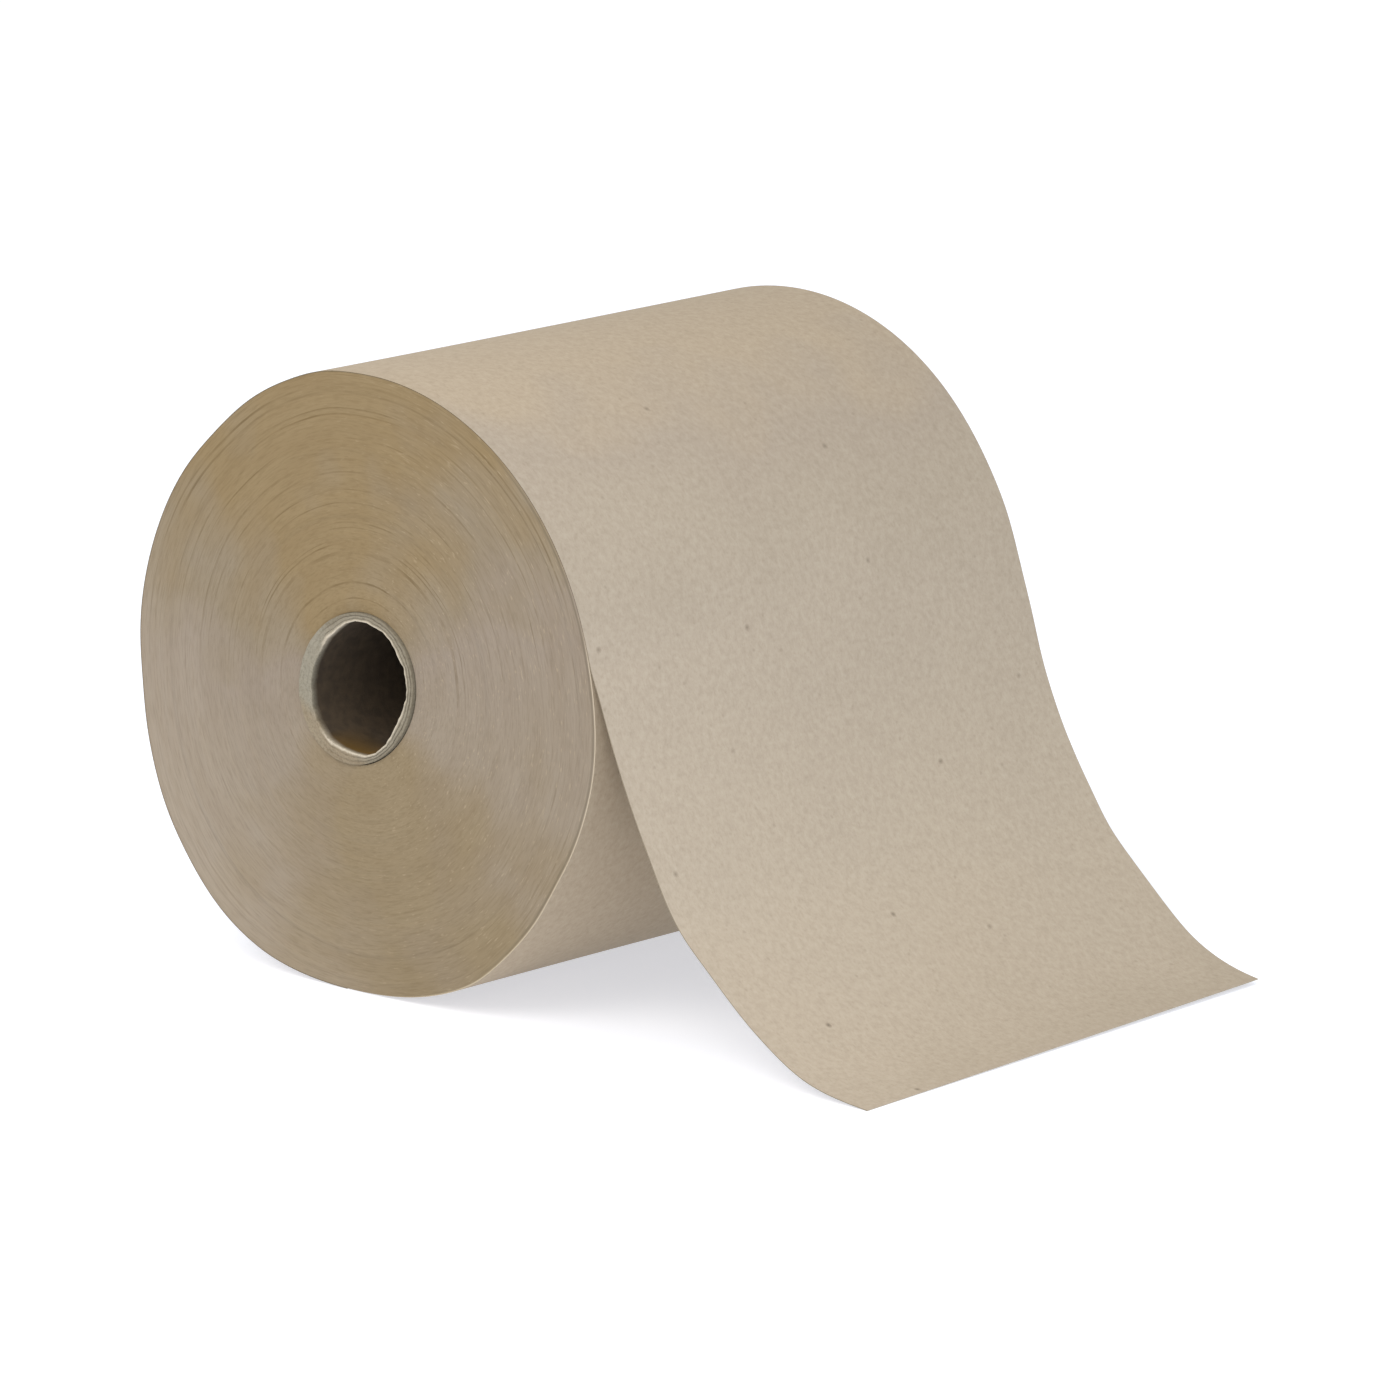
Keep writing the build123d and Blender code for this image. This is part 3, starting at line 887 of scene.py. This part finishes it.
# %% Dress the pieces
EDGE_BAND = 2.5  # faces whose middle is this near to an end of the roll are cut edges
EDGE_FACING = 0.6  # a face of the last turn that looks this much along the roll is a cut edge
for piece, materials in ((wound_turns, (towel, edges)), (last_turn, (towel, edges)), (core, (board,))):
    piece.data.materials.clear()
    for material in materials:
        piece.data.materials.append(material)
    print(piece.name, "wears", ", ".join(material.name for material in materials))
for polygon in wound_turns.data.polygons:
    polygon.material_index = int(abs(polygon.center.y) > (ROLL_WIDTH / 2 - EDGE_BAND) * MM)
for polygon in last_turn.data.polygons:
    polygon.material_index = int(abs(polygon.normal.y) > EDGE_FACING)

# %% [markdown]
# ## Floor, light and camera
#
# The roll is shown on white, in light so even that it leaves only soft contact shadows. A
# white world gives most of it. Three soft boxes shape the roll a little: the key, high in
# front of the wound end, a weak one overhead, and a low wide fill on the side of the loose
# end. The colours were written as they should look, so the plain Standard view shows them.
# The floor gives some light of its own, because in the light that suits the paper it would
# be grey, and it has to run out to white.

# %% Floor
FLOOR_GAP = 0.05  # mm, so that the floor and the paper on it don't fight for one plane
FLOOR_RADIUS = 14.0  # metres, so that its edge is far outside the camera's view
FLOOR_GLOW = 0.52
bpy.ops.object.select_all(action="DESELECT")
floor_height = (FLOOR - FLOOR_GAP) * MM
bpy.ops.mesh.primitive_circle_add(
    vertices=128, radius=FLOOR_RADIUS, fill_type="NGON", location=(0, 0, floor_height)
)
floor = bpy.context.object
floor.name = "floor"
white, add = new_material("lit_white_table")
lit_white = {"Base Color": linear("#D3D5D9"), "Roughness": 0.9}
lit_white |= {"Emission Color": linear("#F1F5FF"), "Emission Strength": FLOOR_GLOW}
add("OutputMaterial", {"Surface": add("BsdfPrincipled", lit_white)})
floor.data.materials.append(white)
floor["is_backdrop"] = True
print("floor at", round(floor_height / MM, 2), "mm")

# %% World and soft boxes
WORLD_STRENGTH = 0.92
scene = bpy.context.scene
scene.view_settings.view_transform = "Standard"
scene.world = bpy.data.worlds.new("white_studio")
scene.world.use_nodes = True
backdrop = scene.world.node_tree.nodes["Background"]
backdrop.inputs["Color"].default_value = linear("#FAFCFF")
backdrop.inputs["Strength"].default_value = WORLD_STRENGTH

# Soft boxes: (name, place in metres, width in metres, watts, colour)
SOFT_BOXES = [
    ("key", (0.2, -1.05, 1.0), 0.9, 9.5, "#FFF6EA"),
    ("overhead", (-0.3, -0.5, 1.5), 1.0, 1.5, "#FFF8EE"),
    ("front_fill", (1.5, -1.5, 0.3), 1.3, 9.0, "#FFFBF4"),
]
for name, spot, size, watts, colour in SOFT_BOXES:
    bpy.ops.object.light_add(type="AREA", location=spot)
    lamp = bpy.context.object
    lamp.name = name
    lamp.data.size = size
    lamp.data.energy = watts
    lamp.data.color = linear(colour)[:3]
    lamp.rotation_euler = lamp.location.to_track_quat("Z", "Y").to_euler()
    print(name, "soft box,", watts, "W")

# %% [markdown]
# The camera was fitted to the outlines of the roll, its core and its loose end. The lens is
# a long one, which keeps the far end of the roll almost as large as the near one. A camera
# looks straight down at first. This one is rolled a little, tipped up to its elevation and
# turned about Z, and it stands straight behind the point that it looks at.

# %% Camera
AZIMUTH = math.radians(42.1)
ELEVATION = math.radians(12.84)
ROLL = math.radians(0.2)
DISTANCE = 3360.8  # mm from the point that the camera looks at
AIM = Vector((52.4, 0.0, -12.4))
SENSOR = 36.0
LENS = 274.1  # mm, on that sensor

turned = Matrix.Rotation(AZIMUTH, 4, "Z") @ Matrix.Rotation(math.pi / 2 - ELEVATION, 4, "X")
turned = turned @ Matrix.Rotation(ROLL, 4, "Z")
bpy.ops.object.camera_add(location=(AIM + turned.to_3x3() @ Vector((0, 0, DISTANCE))) * MM)
camera = bpy.context.object
camera.name = "camera"
camera.rotation_euler = turned.to_euler()
camera.data.sensor_width = SENSOR
camera.data.lens = LENS
camera.data.clip_start = 0.1
camera.data.clip_end = 100.0
scene.camera = camera
print("camera", round(camera.location.length, 2), "m from the roll's middle")

# %% [markdown]
# The size of the dressed roll is measured: the box round all of its shown pieces, without the floor.

# %% Measure the dressed roll
low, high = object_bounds()
